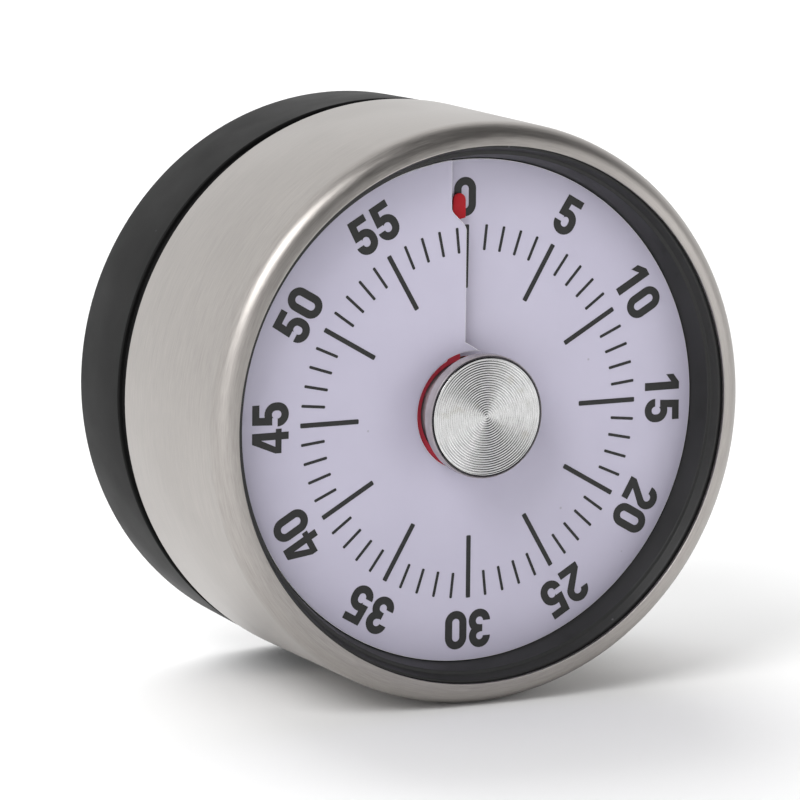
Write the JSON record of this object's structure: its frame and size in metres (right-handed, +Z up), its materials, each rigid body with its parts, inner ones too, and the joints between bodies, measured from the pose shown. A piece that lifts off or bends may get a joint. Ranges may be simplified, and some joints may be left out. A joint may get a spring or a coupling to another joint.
{
  "type": "kitchen timer",
  "caption": "Round clockwork kitchen timer in a brushed steel drum with a black rear cover, a white minute dial, a clear knob with a grooved metal cap and a red disc that shows the time left",
  "frame": {"origin": "centre of the rear magnet's flat face, on the drum's axis", "axes": "+Y along the drum's axis from the dial to the magnet face, so the dial faces -Y; +Z up through the dial's zero mark; +X towards the fifteen-minute mark"},
  "size_m": [0.08, 0.0496, 0.08],
  "materials": {
    "shell_steel": "brushed round the drum",
    "black_plastic": "satin moulded",
    "dial_white": "matt printed sheet",
    "disc_red": "matt",
    "clear_plastic": "clear polished",
    "cap_aluminium": "spun with fine concentric grooves",
    "magnet_ferrite": "sintered ferrite",
    "movement_brass": "stamped",
    "movement_steel": "bright zinc plated",
    "bell_steel": "nickel plated"
  },
  "bodies": {
    "case": {"steel_shell": "shell_steel", "dial_surround": "black_plastic", "dial_plate": "dial_white", "rear_cover": "black_plastic", "magnet_cup": "movement_steel", "magnet": "magnet_ferrite", "case_screw_1": "movement_steel", "case_screw_2": "movement_steel", "case_screw_3": "movement_steel", "front_plate": "movement_steel", "rear_plate": "movement_steel", "pillar_1": "movement_steel", "pillar_2": "movement_steel", "pillar_3": "movement_steel", "movement_screw_1": "movement_steel", "movement_screw_2": "movement_steel", "movement_screw_3": "movement_steel", "rear_plate_screw_1": "movement_steel", "rear_plate_screw_2": "movement_steel", "rear_plate_screw_3": "movement_steel", "bell": "bell_steel", "bell_post": "movement_steel", "bell_screw": "movement_steel", "mainspring": "movement_steel", "hammer_spring": "movement_steel"},
    "knob": {"knob": "clear_plastic", "knob_cap": "cap_aluminium", "main_arbor": "movement_steel", "disc_hub": "movement_brass", "main_wheel": "movement_brass", "ratchet_wheel": "movement_steel", "strike_cam": "movement_steel", "click_stud": "movement_brass"},
    "red_disc": {"red_disc": "disc_red"},
    "click": {"click": "movement_steel"},
    "second_train": {"second_arbor": "movement_steel", "second_wheel": "movement_brass"},
    "third_train": {"third_arbor": "movement_steel", "third_wheel": "movement_brass", "strike_star": "movement_brass"},
    "escape_train": {"escape_arbor": "movement_steel", "escape_wheel": "movement_brass"},
    "pallet": {"pallet_arbor": "movement_steel", "pallet_lever": "movement_steel", "pallet_pin_1": "movement_steel", "pallet_pin_2": "movement_steel"},
    "hammer": {"hammer_arbor": "movement_steel", "hammer_tail": "movement_steel", "strike_arm": "movement_steel", "hammer_lever": "movement_steel", "hammer_head": "movement_brass"}
  },
  "joints": [
    {"name": "knob_turn", "type": "hinge", "parent": "case", "child": "knob", "pos_m": [0, -0.0442, 0], "axis": [0, 1, 0], "range_deg": [0, 354]},
    {"name": "disc_climb", "type": "slide", "parent": "knob", "child": "red_disc", "axis": [0, -1, 0], "range_m": [0, 0.0017]},
    {"name": "click_rock", "type": "hinge", "parent": "knob", "child": "click", "pos_m": [-0.0086, -0.0346, 0.0024], "axis": [0, 1, 0], "range_deg": [0, 8], "stiffness_Nm_per_rad": 0.001},
    {"name": "second_wheel_spin", "type": "hinge", "parent": "case", "child": "second_train", "pos_m": [0.0162, -0.0317, 0], "axis": [0, 1, 0], "range_deg": [-2840, 10]},
    {"name": "third_wheel_spin", "type": "hinge", "parent": "case", "child": "third_train", "pos_m": [0.01811, -0.029, 0.01063], "axis": [0, 1, 0], "range_deg": [-10, 22700]},
    {"name": "escape_wheel_spin", "type": "hinge", "parent": "case", "child": "escape_train", "pos_m": [0.01323, -0.0268, 0.01758], "axis": [0, 1, 0], "range_deg": [-170000, 100]},
    {"name": "pallet_rock", "type": "hinge", "parent": "case", "child": "pallet", "pos_m": [0.00695, -0.0254, 0.02215], "axis": [0, 1, 0], "range_deg": [-4, 4]},
    {"name": "hammer_swing", "type": "hinge", "parent": "case", "child": "hammer", "pos_m": [0.0233, -0.0217, -0.009], "axis": [0, 1, 0], "range_deg": [-2, 3], "stiffness_Nm_per_rad": 0.01}
  ],
  "couplings": [
    {"joint": "disc_climb", "follows": "knob_turn", "m_per_rad": 0.00027056},
    {"joint": "second_wheel_spin", "follows": "knob_turn", "ratio": -8},
    {"joint": "third_wheel_spin", "follows": "knob_turn", "ratio": 64},
    {"joint": "escape_wheel_spin", "follows": "knob_turn", "ratio": -480}
  ]
}
